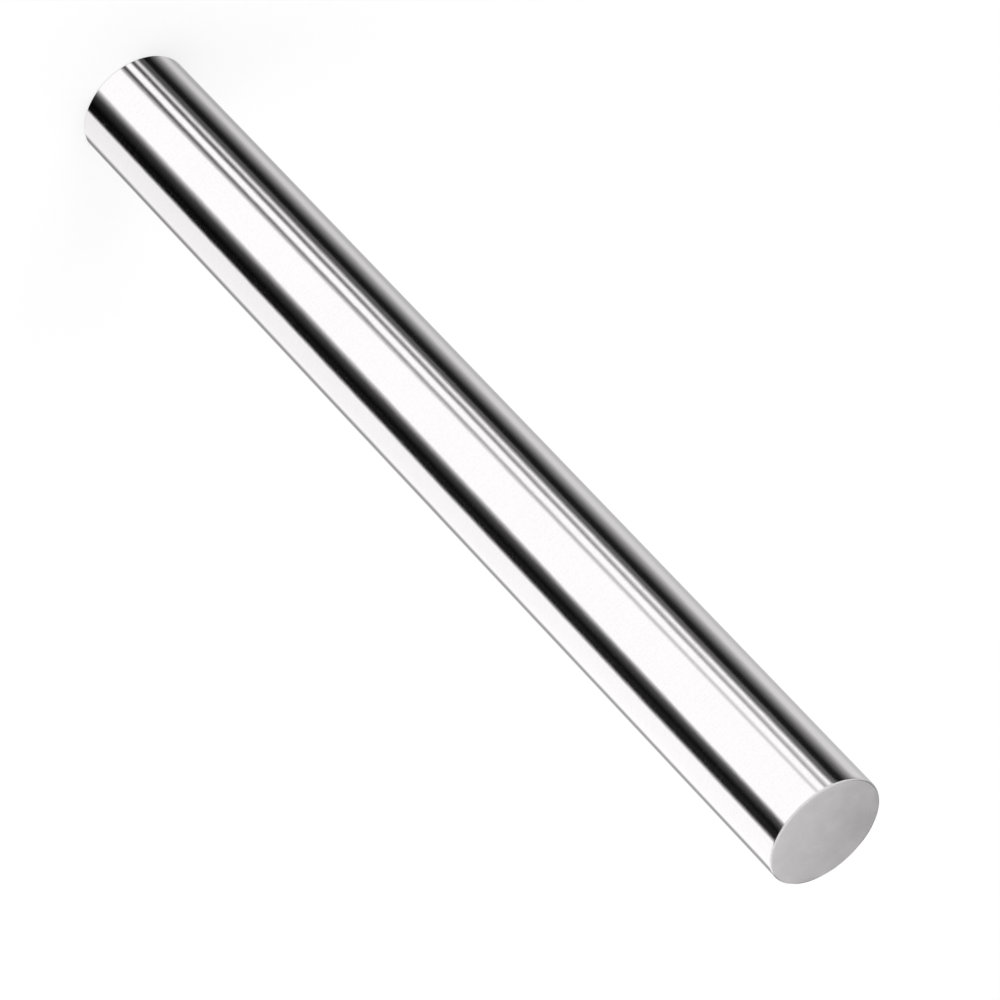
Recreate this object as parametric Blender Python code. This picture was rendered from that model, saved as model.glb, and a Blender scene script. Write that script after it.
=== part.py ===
"""A polished stainless steel round bar: one straight length of metal stock.

Metres, +Z up. The bar stands on its end, with the middle of its lower end face at the origin.
Both ends are sawn square and faced, and their sharp edges are taken off with a small chamfer.
"""

import math

import bmesh
import bpy
from mathutils import Matrix, Vector

# Driving dimensions
DIAMETER = 0.03175  # 1 1/4 inch bar
LENGTH = 0.3048  # one foot, measured over both end faces
EDGE_BREAK = 0.0003  # how far the chamfer reaches back along the bar from each end face
CHAMFER_ANGLE = math.radians(45)  # between the chamfer and the bar's axis

# Flats that stand for the round surface, a multiple of four so that the bar measures its diameter along X and Y
FLATS = 128

# Looks
STEEL_COLOUR = (0.70, 0.70, 0.70, 1.0)
POLISHED_ROUGHNESS = 0.10  # the ground and polished round surface and its chamfers
FACED_ROUGHNESS = 0.42  # the satin end faces
SHARP_EDGE = math.radians(20)  # edges that turn further than this stay sharp when shaded


def clear_scene():
    for thing in list(bpy.data.objects):
        bpy.data.objects.remove(thing, do_unlink=True)


def steel(name, roughness):
    material = bpy.data.materials.new(name)
    material.use_nodes = True
    shader = material.node_tree.nodes["Principled BSDF"]
    shader.inputs["Base Color"].default_value = STEEL_COLOUR
    shader.inputs["Metallic"].default_value = 1.0
    shader.inputs["Roughness"].default_value = roughness
    material.diffuse_color = STEEL_COLOUR
    material.metallic = 1.0
    material.roughness = roughness
    return material


def half_profile():
    """(radius, height) of the turned outline, from the lower end face up to the upper one."""
    radius = DIAMETER / 2
    face_radius = radius - EDGE_BREAK * math.tan(CHAMFER_ANGLE)
    return [
        (face_radius, 0.0),
        (radius, EDGE_BREAK),
        (radius, LENGTH - EDGE_BREAK),
        (face_radius, LENGTH),
    ]


def turn_about_z(profile):
    """The profile spun about Z into a tube of flats, whose middles touch the true circle, with both ends filled."""
    half_step = math.pi / FLATS
    first_corner = Matrix.Rotation(half_step, 4, "Z")
    corner_reach = 1 / math.cos(half_step)
    bm = bmesh.new()
    points = [bm.verts.new(first_corner @ Vector((r * corner_reach, 0, z))) for r, z in profile]
    outline = [bm.edges.new(pair) for pair in zip(points, points[1:])]
    bmesh.ops.spin(
        bm,
        geom=points + outline,
        cent=(0, 0, 0),
        axis=(0, 0, 1),
        angle=2 * math.pi,
        steps=FLATS,
        use_merge=True,
    )
    rims = [edge for edge in bm.edges if edge.is_boundary]
    bmesh.ops.holes_fill(bm, edges=rims, sides=0)
    bmesh.ops.recalc_face_normals(bm, faces=bm.faces)
    return bm


def is_end_face(face):
    return len(face.verts) == FLATS


def make_round_rod(name):
    bm = turn_about_z(half_profile())
    for face in bm.faces:
        face.material_index = 1 if is_end_face(face) else 0
    mesh = bpy.data.meshes.new(name)
    bm.to_mesh(mesh)
    bm.free()
    mesh.materials.append(steel("polished_stainless", POLISHED_ROUGHNESS))
    mesh.materials.append(steel("faced_stainless", FACED_ROUGHNESS))
    mesh.shade_smooth()
    mesh.set_sharp_from_angle(angle=SHARP_EDGE)
    rod = bpy.data.objects.new(name, mesh)
    bpy.context.scene.collection.objects.link(rod)
    return rod


clear_scene()
make_round_rod("round_rod")
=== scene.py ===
"""The looks of a polished stainless steel round rod, standing on its end in a plain white studio.

Metres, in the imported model's frame: +Z runs up the rod's axis from the middle of its lower end face.
"""

import math

import bmesh
import bpy
from mathutils import Matrix, Vector


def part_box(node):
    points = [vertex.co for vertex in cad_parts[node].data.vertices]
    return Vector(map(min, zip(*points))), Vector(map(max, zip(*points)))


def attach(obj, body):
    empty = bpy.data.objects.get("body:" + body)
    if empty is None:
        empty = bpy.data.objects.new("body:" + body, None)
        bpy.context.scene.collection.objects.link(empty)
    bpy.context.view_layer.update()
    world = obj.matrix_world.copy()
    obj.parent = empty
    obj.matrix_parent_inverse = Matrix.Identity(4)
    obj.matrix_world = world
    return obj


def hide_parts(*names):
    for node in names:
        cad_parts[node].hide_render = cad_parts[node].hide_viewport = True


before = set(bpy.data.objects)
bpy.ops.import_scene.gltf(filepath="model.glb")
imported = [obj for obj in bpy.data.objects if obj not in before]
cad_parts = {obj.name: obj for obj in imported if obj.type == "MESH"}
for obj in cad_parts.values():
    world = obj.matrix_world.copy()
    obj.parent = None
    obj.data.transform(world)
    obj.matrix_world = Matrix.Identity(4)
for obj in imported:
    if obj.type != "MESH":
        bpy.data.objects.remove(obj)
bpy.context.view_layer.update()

NODE = "round_rod"
MM = 0.001

# Sizes, read from the frame
low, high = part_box(NODE)
LENGTH = high.z - low.z
RADIUS = (high.x - low.x) / 2

# The rod's mesh
SIDES = 256  # corners round each ring
STATIONS = 96  # steps up the round surface
ROUNDING = 0.5 * MM  # radius that the chamfer is worn to by the polishing wheel
ROUNDING_STEPS = 12
FACE_RINGS = 12  # steps in from the rim to the middle of an end face

# Camera: a long lens that looks down on the rod and is turned about its own axis
SENSOR_WIDTH_MM = 36.0
LENS_MM = 224.1
CLIP_START = 0.1
CLIP_END = 20.0
CAMERA_ELEVATION = math.radians(35.07)
CAMERA_AZIMUTH = math.radians(-0.08)
CAMERA_ROLL = math.radians(136.52)
CAMERA_AIM = Vector((0.0018, 0.0, 0.1719))
CAMERA_DISTANCE = 1.5325


def camera_axes():
    """(right, up, back) of the camera, with right turned from level by the roll."""
    back = Vector((
        math.sin(CAMERA_AZIMUTH) * math.cos(CAMERA_ELEVATION),
        -math.cos(CAMERA_AZIMUTH) * math.cos(CAMERA_ELEVATION),
        math.sin(CAMERA_ELEVATION),
    ))
    level = Vector((0, 0, 1)).cross(back).normalized()
    upright = back.cross(level)
    right = math.cos(CAMERA_ROLL) * level + math.sin(CAMERA_ROLL) * upright
    return right, back.cross(right), back


CAMERA_RIGHT, CAMERA_UP, CAMERA_BACK = camera_axes()
EYE = CAMERA_AIM + CAMERA_BACK * CAMERA_DISTANCE
EYE_AWAY = math.hypot(EYE.x, EYE.y)  # level distance from the rod's axis


def make_camera():
    data = bpy.data.cameras.new("camera")
    data.sensor_width = SENSOR_WIDTH_MM
    data.lens = LENS_MM
    data.clip_start = CLIP_START
    data.clip_end = CLIP_END
    camera = bpy.data.objects.new("camera", data)
    bpy.context.scene.collection.objects.link(camera)
    turn = Matrix((CAMERA_RIGHT, CAMERA_UP, CAMERA_BACK)).transposed()
    camera.matrix_world = Matrix.Translation(EYE) @ turn.to_4x4()
    bpy.context.scene.camera = camera


make_camera()


# Node helpers

NOISE_LOW, NOISE_HIGH = 0.3, 0.7  # most of a noise lies between these


def add(tree, kind, inputs, **settings):
    """A new shader node. Each input takes a value, or the socket of another node to be linked to."""
    node = tree.nodes.new("ShaderNode" + kind)
    for name, value in settings.items():
        setattr(node, name, value)
    for name, value in inputs.items():
        if isinstance(value, bpy.types.NodeSocket):
            tree.links.new(value, node.inputs[name])
        else:
            node.inputs[name].default_value = value
    return node


def noise(tree, place, per_metre, detail=2.0, roughness=0.5):
    """A noise from 0 to 1, with its own count of features to the metre along each axis."""
    stretched = add(tree, "Mapping", {"Vector": place, "Scale": per_metre})
    pattern = add(tree, "TexNoise", {
        "Vector": stretched.outputs["Vector"], "Scale": 1.0, "Detail": detail, "Roughness": roughness,
    })
    return pattern.outputs["Fac"]


def remap(tree, value, from_low, from_high, to_low, to_high):
    """The value moved from one range to another, and held inside it."""
    node = add(tree, "MapRange", {
        "Value": value, "From Min": from_low, "From Max": from_high, "To Min": to_low, "To Max": to_high,
    })
    return node.outputs["Result"]


def spread(tree, pattern, lowest, highest):
    """A noise spread over the range from lowest to highest."""
    return remap(tree, pattern, NOISE_LOW, NOISE_HIGH, lowest, highest)


def swing(tree, pattern, middle, reach):
    """A noise that swings by up to reach either side of the middle."""
    return spread(tree, pattern, middle - reach, middle + reach)


def combine(tree, operation, first, second):
    return add(tree, "Math", {0: first, 1: second}, operation=operation).outputs["Value"]


def scaled(tree, value, factor):
    return combine(tree, "MULTIPLY", value, factor)


# Steel

STEEL = 0.75  # its brightness at right angles
STEEL_TINT = (1.012, 0.988, 1.0)  # red, green and blue, as shares of that brightness


def new_metal(name):
    material = bpy.data.materials.new(name)
    material.use_nodes = True
    tree = material.node_tree
    shader = tree.nodes["Principled BSDF"]
    shader.inputs["Metallic"].default_value = 1
    place = add(tree, "TexCoord", {}).outputs["Object"]
    return material, tree, shader, place


def dress(tree, shader, shade, roughness, bumps, height):
    """Gives the shader its shade, where 1 is clean steel, its roughness, and bumps of a height."""
    red, green, blue = (scaled(tree, shade, STEEL * share) for share in STEEL_TINT)
    colour = add(tree, "CombineColor", {"Red": red, "Green": green, "Blue": blue})
    bump = add(tree, "Bump", {"Height": bumps, "Distance": height, "Strength": 1.0})
    tree.links.new(colour.outputs["Color"], shader.inputs["Base Color"])
    tree.links.new(roughness, shader.inputs["Roughness"])
    tree.links.new(bump.outputs["Normal"], shader.inputs["Normal"])


# The three finishes. A pattern's three numbers are its features to the metre along X, Y and Z.

# The round surface
POLISHED_ROUGHNESS = 0.07
LAY = (45, 45, 2000)  # marks of the grinding, long round the rod and 0.5 mm apart up it
LAY_SHADE = 0.01
LAY_ROUGHNESS = 0.015
CLOUD = (90, 90, 25)  # slow changes of shade
CLOUD_SHADE = (0.985, 1.0)
SPECK_SIZE = 0.6 * MM
SPECKS = [1 / SPECK_SIZE] * 3
SPECK_RANGE = (0.40, 0.75)  # where in the noise a speck starts, and where it is whole
SPECK_SHADE = 0.035
SPECK_ROUGHNESS = 0.08
WAVES = (55, 55, 35)
WAVE_HEIGHT = 0.10 * MM
GRAIN = (1000, 1000, 500)
GRAIN_SHARE = 0.06  # its height, as a share of the waves'


def make_polished():
    """The round surface: ground and polished, with a faint lay round it, slow waves and dull specks."""
    material, tree, shader, place = new_metal("polished_stainless")
    lay = noise(tree, place, LAY, detail=3)
    cloud = noise(tree, place, CLOUD, detail=3)
    specks = noise(tree, place, SPECKS)
    waves = noise(tree, place, WAVES, detail=3)
    grain = noise(tree, place, GRAIN, detail=1)
    speck = remap(tree, specks, *SPECK_RANGE, 0.0, 1.0)
    shade = combine(tree, "ADD", spread(tree, cloud, *CLOUD_SHADE), swing(tree, lay, 0, LAY_SHADE))
    shade = combine(tree, "SUBTRACT", shade, scaled(tree, speck, SPECK_SHADE))
    roughness = combine(
        tree, "ADD",
        swing(tree, lay, POLISHED_ROUGHNESS, LAY_ROUGHNESS),
        scaled(tree, speck, SPECK_ROUGHNESS),
    )
    bumps = combine(tree, "ADD", waves, scaled(tree, grain, GRAIN_SHARE))
    dress(tree, shader, shade, roughness, bumps, WAVE_HEIGHT)
    return material


# The worn rims
EDGE_ROUGHNESS = 0.22
EDGE_ROUGHNESS_SWING = 0.04
EDGE_SHADE = (0.86, 0.94)
NICKS = (900, 900, 900)
NICK_HEIGHT = 0.01 * MM


def make_edge():
    """The rims: chamfered, worn round by the polishing wheel, and duller than the round surface."""
    material, tree, shader, place = new_metal("broken_edge")
    nicks = noise(tree, place, NICKS, detail=3)
    roughness = swing(tree, nicks, EDGE_ROUGHNESS, EDGE_ROUGHNESS_SWING)
    dress(tree, shader, spread(tree, nicks, *EDGE_SHADE), roughness, nicks, NICK_HEIGHT)
    return material


# The end faces
FACED_ROUGHNESS = 0.44
FACED_ROUGHNESS_SWING = 0.03
FACING_PITCH = 0.35 * MM  # spacing of the rings that the facing tool left
FACING_DRIFT = 60  # changes to the metre along a ring
FACING_SHADE = 0.015
FACING_HEIGHT = 0.004 * MM
MOTTLE = (260, 260, 260)
MOTTLE_SHADE = (0.95, 1.0)


def make_faced():
    """The end faces: turned flat, with fine rings about the middle, and left satin."""
    material, tree, shader, place = new_metal("faced_stainless")
    across = add(tree, "VectorMath", {0: place, 1: (1, 1, 0)}, operation="MULTIPLY").outputs["Vector"]
    radius = add(tree, "VectorMath", {0: across}, operation="LENGTH").outputs["Value"]
    parts = add(tree, "SeparateXYZ", {"Vector": place})
    polar = add(tree, "CombineXYZ", {
        "X": scaled(tree, radius, 1 / FACING_PITCH),
        "Y": scaled(tree, parts.outputs["X"], FACING_DRIFT),
        "Z": scaled(tree, parts.outputs["Y"], FACING_DRIFT),
    })
    rings = noise(tree, polar.outputs["Vector"], (1, 1, 1))
    mottle = noise(tree, place, MOTTLE, detail=4, roughness=0.6)
    shade = combine(tree, "ADD", swing(tree, rings, 0, FACING_SHADE), spread(tree, mottle, *MOTTLE_SHADE))
    roughness = swing(tree, mottle, FACED_ROUGHNESS, FACED_ROUGHNESS_SWING)
    dress(tree, shader, shade, roughness, rings, FACING_HEIGHT)
    return material


# The rod

SIDE, EDGE, FACE = range(3)  # material slots


def upper_rim():
    """The outline over the upper edge, from the round surface to the end face."""
    angles = [math.pi / 2 * i / ROUNDING_STEPS for i in range(ROUNDING_STEPS + 1)]
    return [(RADIUS + ROUNDING * (math.cos(a) - 1), LENGTH + ROUNDING * (math.sin(a) - 1)) for a in angles]


def rim_to_middle(rim):
    """The outline across the upper end face, from the rim inward, without the middle point."""
    edge = rim[-1][0]
    return [(edge * (1 - i / FACE_RINGS), LENGTH) for i in range(1, FACE_RINGS)]


def outline():
    """[(radius, height)] up the whole turned outline, and the slot of each stretch between two points."""
    rim = upper_rim()
    face = rim_to_middle(rim)
    upper = rim + face
    lower = [(r, LENGTH - z) for r, z in reversed(upper)]
    bottom, top = lower[-1][1], upper[0][1]
    side = [(RADIUS, bottom + (top - bottom) * i / STATIONS) for i in range(1, STATIONS)]
    end_slots = [EDGE] * (len(rim) - 1) + [FACE] * len(face)
    return lower + side + upper, end_slots[::-1] + [SIDE] * STATIONS + end_slots


def turned(points, slots):
    """The outline turned about Z, with a fan of triangles over the middle of each end."""
    turn = [(math.cos(a), math.sin(a)) for a in (2 * math.pi * k / SIDES for k in range(SIDES))]
    bm = bmesh.new()
    rings = [[bm.verts.new((r * c, r * s, z)) for c, s in turn] for r, z in points]
    for slot, below, above in zip(slots, rings, rings[1:]):
        for k in range(SIDES):
            n = (k + 1) % SIDES
            bm.faces.new((below[k], below[n], above[n], above[k])).material_index = slot
    for ring, height in ((rings[0], 0.0), (rings[-1], LENGTH)):
        middle = bm.verts.new((0, 0, height))
        for k in range(SIDES):
            n = (k + 1) % SIDES
            corners = (middle, ring[k], ring[n]) if height else (middle, ring[n], ring[k])
            bm.faces.new(corners).material_index = FACE
    return bm


def make_rod():
    mesh = bpy.data.meshes.new("polished_rod")
    bm = turned(*outline())
    bm.to_mesh(mesh)
    bm.free()
    for material in (make_polished(), make_edge(), make_faced()):
        mesh.materials.append(material)
    mesh.shade_smooth()
    rod = bpy.data.objects.new("polished_rod", mesh)
    bpy.context.scene.collection.objects.link(rod)
    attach(rod, "root")
    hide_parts(NODE)


make_rod()


# Studio

FLOOR_REACH = 4.0
FLOOR_GREY = 0.5
FLOOR_GLOW = 0.585  # makes the floor white to the camera and in reflections, and leaves the shadow
WORLD_LIGHT = 0.6  # the light that the room gives, where white is 1

# Square softboxes: name, place, size, and the brightness that each would show in a mirror, where white is 1
LAMPS = [
    ("key_softbox", (-1.1, -0.9, 1.5), 1.4, 1.1),
    ("fill_softbox", (1.2, -0.7, 1.4), 1.2, 1.0),
    ("top_softbox", (0.2, 0.6, 1.8), 1.2, 1.0),
]
LAMPS_AIM = Vector((0, 0, 0.1))


def stage_object(name, mesh, material):
    thing = bpy.data.objects.new(name, mesh)
    bpy.context.scene.collection.objects.link(thing)
    mesh.materials.append(material)
    return thing


def new_stage_material(name):
    material = bpy.data.materials.new(name)
    material.use_nodes = True
    tree = material.node_tree
    tree.nodes.clear()
    return material, tree


def seen_or_mirrored(tree):
    """1 for the camera and for what metal or glass shows, 0 for light that falls on things."""
    path = add(tree, "LightPath", {})
    mirrored = combine(tree, "MAXIMUM", path.outputs["Is Glossy Ray"], path.outputs["Is Transmission Ray"])
    return combine(tree, "MAXIMUM", path.outputs["Is Camera Ray"], mirrored)


def make_floor():
    bm = bmesh.new()
    bmesh.ops.create_grid(bm, x_segments=1, y_segments=1, size=FLOOR_REACH)
    mesh = bpy.data.meshes.new("floor")
    bm.to_mesh(mesh)
    bm.free()
    material, tree = new_stage_material("white_floor")
    matt = add(tree, "BsdfDiffuse", {"Color": (FLOOR_GREY, FLOOR_GREY, FLOOR_GREY, 1)})
    glow = add(tree, "Emission", {"Strength": scaled(tree, seen_or_mirrored(tree), FLOOR_GLOW)})
    both = add(tree, "AddShader", {0: matt.outputs[0], 1: glow.outputs[0]})
    add(tree, "OutputMaterial", {"Surface": both.outputs[0]})
    stage_object("floor", mesh, material)


def make_world():
    world = bpy.data.worlds.new("studio")
    bpy.context.scene.world = world
    world.use_nodes = True
    tree = world.node_tree
    background = tree.nodes["Background"]
    background.inputs["Color"].default_value = (1, 1, 1, 1)
    strength = remap(tree, seen_or_mirrored(tree), 0, 1, WORLD_LIGHT, 1)
    tree.links.new(strength, background.inputs["Strength"])


def make_lamps():
    for name, place, size, brightness in LAMPS:
        data = bpy.data.lights.new(name, "AREA")
        data.shape = "SQUARE"
        data.size = size
        data.energy = brightness * math.pi * size * size
        lamp = bpy.data.objects.new(name, data)
        lamp.location = place
        lamp.rotation_euler = (LAMPS_AIM - Vector(place)).to_track_quat("-Z", "Y").to_euler()
        lamp.visible_glossy = False
        bpy.context.scene.collection.objects.link(lamp)


make_floor()
make_world()
make_lamps()


# The surround: a white wall with a few dark things on it, which only reflections show. It lies on the floor
# round the rod and turns up into a wall a little higher than the rod. A place across the rod is a share of
# its radius, from -1 at the +X edge of the camera's view of it to 1 at the -X edge, and the camera sees
# each thing mirrored at its place.

SURROUND_LIFT = 0.2 * MM  # above the floor
SURROUND_REACH = 12 * MM  # from the rod to the wall
WALL_RISE = 3 * MM  # above the top end
SURROUND_COLUMNS = 600
SURROUND_ROWS = 26
BACK_COLUMNS = 200

# Each thing, at the foot and then at the top: where its full shade starts and ends, how far it fades out
# before and after that, and its shade, from 0 for black to 1 for the white of the wall. Where things
# overlap, their shades multiply.
FRONT = [
    # Dark line at the +X edge
    ((-0.96, -0.96, 0.04, 0.05, 0.45), (-0.98, -0.97, 0.04, 0.03, 0.58)),
    # Stretch of wall that is a little grey towards the foot
    ((-0.90, -0.60, 0.05, 0.05, 0.93), (-0.90, -0.60, 0.05, 0.05, 0.99)),
    # Black flag, with a sharp edge and a soft one
    ((-0.59, -0.50, 0.05, 0.25, 0.05), (-0.60, -0.50, 0.06, 0.16, 0.12)),
    # Its half shade
    ((-0.50, -0.38, 0.05, 0.14, 0.40), (-0.50, -0.40, 0.05, 0.06, 0.50)),
    # First seam
    ((0.30, 0.31, 0.08, 0.04, 0.30), (0.32, 0.32, 0.04, 0.04, 0.80)),
    # Second seam
    ((0.46, 0.46, 0.05, 0.06, 0.25), (0.46, 0.46, 0.04, 0.06, 0.62)),
    # Grey lip of the dark panel
    ((0.57, 0.64, 0.06, 0.03, 0.30), (0.58, 0.64, 0.05, 0.03, 0.38)),
    # Dark panel, which fades out into a grey wall
    ((0.65, 0.69, 0.04, 0.18, 0.10), (0.65, 0.69, 0.04, 0.18, 0.12)),
    # Grey wall
    ((0.70, 1.00, 0.05, 0.05, 0.78), (0.70, 1.00, 0.05, 0.05, 0.81)),
    # Faint line at the -X edge
    ((0.96, 0.97, 0.05, 0.06, 0.82), (0.97, 1.00, 0.05, 0.05, 0.88)),
]
SETTLING = 1.5  # above 1, a shade comes near what it is at the top sooner

# The wall goes on round the back in a half circle, with places from -1 at its -X end to 1 at its +X end
BACK = [
    (-1.00, -0.64, 0.05, 0.05, 0.72),  # grey wall
    (-0.58, -0.44, 0.08, 0.18, 0.12),  # black flag
    (0.29, 0.31, 0.06, 0.06, 0.60),  # seam
    (0.74, 0.80, 0.20, 0.20, 0.14),  # black flag
]


def light_that_shows(brightness):
    """The light that steel has to mirror to show a brightness, where white is 1, by the sRGB curve."""
    return ((brightness + 0.055) / 1.055) ** 2.4 / STEEL


def brightness_at(things, place):
    """The brightness of the wall and the things on it at a place."""
    brightness = 1.0
    for start, end, fade_before, fade_after, shade in things:
        outside = max((start - place) / fade_before, (place - end) / fade_after, 0.0)
        cover = 1 - min(outside, 1.0)
        brightness *= 1 - (1 - shade) * cover
    return brightness


def front_at(height):
    """The things in front of the rod, at a height up it."""
    share = min(height / LENGTH, 1.0)
    settled = 1 - (1 - share) ** SETTLING
    shares = (share, share, share, share, settled)
    return [
        [foot + (top - foot) * part for foot, top, part in zip(at_foot, at_top, shares)]
        for at_foot, at_top in FRONT
    ]


def mirrored_place(lean, height):
    """The place in the surround mirrored at a height on the rod, lean radians round from its front."""
    foot = Vector((-math.sin(lean), -math.cos(lean), 0)) * RADIUS
    away = Vector((-math.sin(2 * lean), -math.cos(2 * lean), 0))
    drop = (EYE.z - height) / EYE_AWAY
    reach = min(height / drop, SURROUND_REACH)
    return foot + away * reach + Vector((0, 0, height - reach * drop + SURROUND_LIFT))


def show_in_reflections(name, columns):
    """A sheet of light that only reflections show, from columns of (place, light) points."""
    bm = bmesh.new()
    light = bm.verts.layers.float.new("light")
    grid = []
    for column in columns:
        verts = []
        for place, value in column:
            vert = bm.verts.new(place)
            vert[light] = value
            verts.append(vert)
        grid.append(verts)
    for near, far in zip(grid, grid[1:]):
        for j in range(len(near) - 1):
            bm.faces.new((near[j], far[j], far[j + 1], near[j + 1]))
    mesh = bpy.data.meshes.new(name)
    bm.to_mesh(mesh)
    bm.free()
    material, tree = new_stage_material(name)
    painted = add(tree, "Attribute", {}, attribute_name="light")
    glow = add(tree, "Emission", {"Strength": painted.outputs["Fac"]})
    add(tree, "OutputMaterial", {"Surface": glow.outputs[0]})
    sheet = stage_object(name, mesh, material)
    sheet.visible_camera = False
    sheet.visible_diffuse = False
    sheet.visible_shadow = False
    sheet.visible_transmission = False


def make_surround():
    """The part of the surround that the camera sees mirrored. Its rows go by the height on the rod that
    mirrors them: first the floor beside the rod, then the foot of the wall, and on up to its head."""
    foot = EYE.z * SURROUND_REACH / (EYE_AWAY + SURROUND_REACH)
    head = LENGTH + WALL_RISE + (EYE.z - LENGTH) / EYE_AWAY * SURROUND_REACH
    heights = [0.0] + [foot + (head - foot) * j / SURROUND_ROWS for j in range(SURROUND_ROWS + 1)]
    fronts = [front_at(height) for height in heights]
    columns = []
    for i in range(SURROUND_COLUMNS + 1):
        lean = math.pi * (i / SURROUND_COLUMNS - 0.5)
        lights = [light_that_shows(brightness_at(things, math.sin(lean))) for things in fronts]
        columns.append([(mirrored_place(lean, height), light) for height, light in zip(heights, lights)])
    show_in_reflections("surround", columns)


def make_surround_back():
    """The half behind the rod. Each column runs out over the floor and up the wall."""
    columns = []
    for i in range(BACK_COLUMNS + 1):
        turn = math.pi * (0.5 - i / BACK_COLUMNS)
        x, y = -math.sin(turn) * RADIUS, math.cos(turn) * RADIUS
        light = light_that_shows(brightness_at(BACK, x / RADIUS))
        wall = y + SURROUND_REACH
        column = ((y, SURROUND_LIFT), (wall, SURROUND_LIFT), (wall, LENGTH + WALL_RISE))
        columns.append([(Vector((x, away, up)), light) for away, up in column])
    show_in_reflections("surround_back", columns)


make_surround()
make_surround_back()


# A graded grey card over the top end, which the satin end face mirrors

CARD_AWAY = 80 * MM
CARD_HALF_WIDTH = 80 * MM
CARD_FOOT = -52 * MM
CARD_HEAD = 80 * MM
CARD_STEPS = 12
CARD_LIGHT = 0.55
CARD_DARKEST = 0.25
CARD_CLIMB = Vector((8.5, 20.0))  # light gained per metre, towards +X and up the card


def make_card():
    """The card, square to the line along which the end face mirrors the camera's view."""
    line = Vector((-CAMERA_BACK.x, -CAMERA_BACK.y, CAMERA_BACK.z))
    along = line.cross(Vector((0, 0, 1))).normalized()
    upward = along.cross(line)
    middle = Vector((0, 0, LENGTH)) + line * CARD_AWAY
    heights = [CARD_FOOT + (CARD_HEAD - CARD_FOOT) * j / CARD_STEPS for j in range(CARD_STEPS + 1)]
    columns = []
    for i in range(CARD_STEPS + 1):
        x = CARD_HALF_WIDTH * (2 * i / CARD_STEPS - 1)
        lights = [min(max(CARD_LIGHT + CARD_CLIMB.dot((x, y)), CARD_DARKEST), 1.0) for y in heights]
        columns.append([(middle + along * x + upward * y, light) for y, light in zip(heights, lights)])
    show_in_reflections("grey_card", columns)


make_card()

bpy.context.scene.view_settings.view_transform = "Standard"
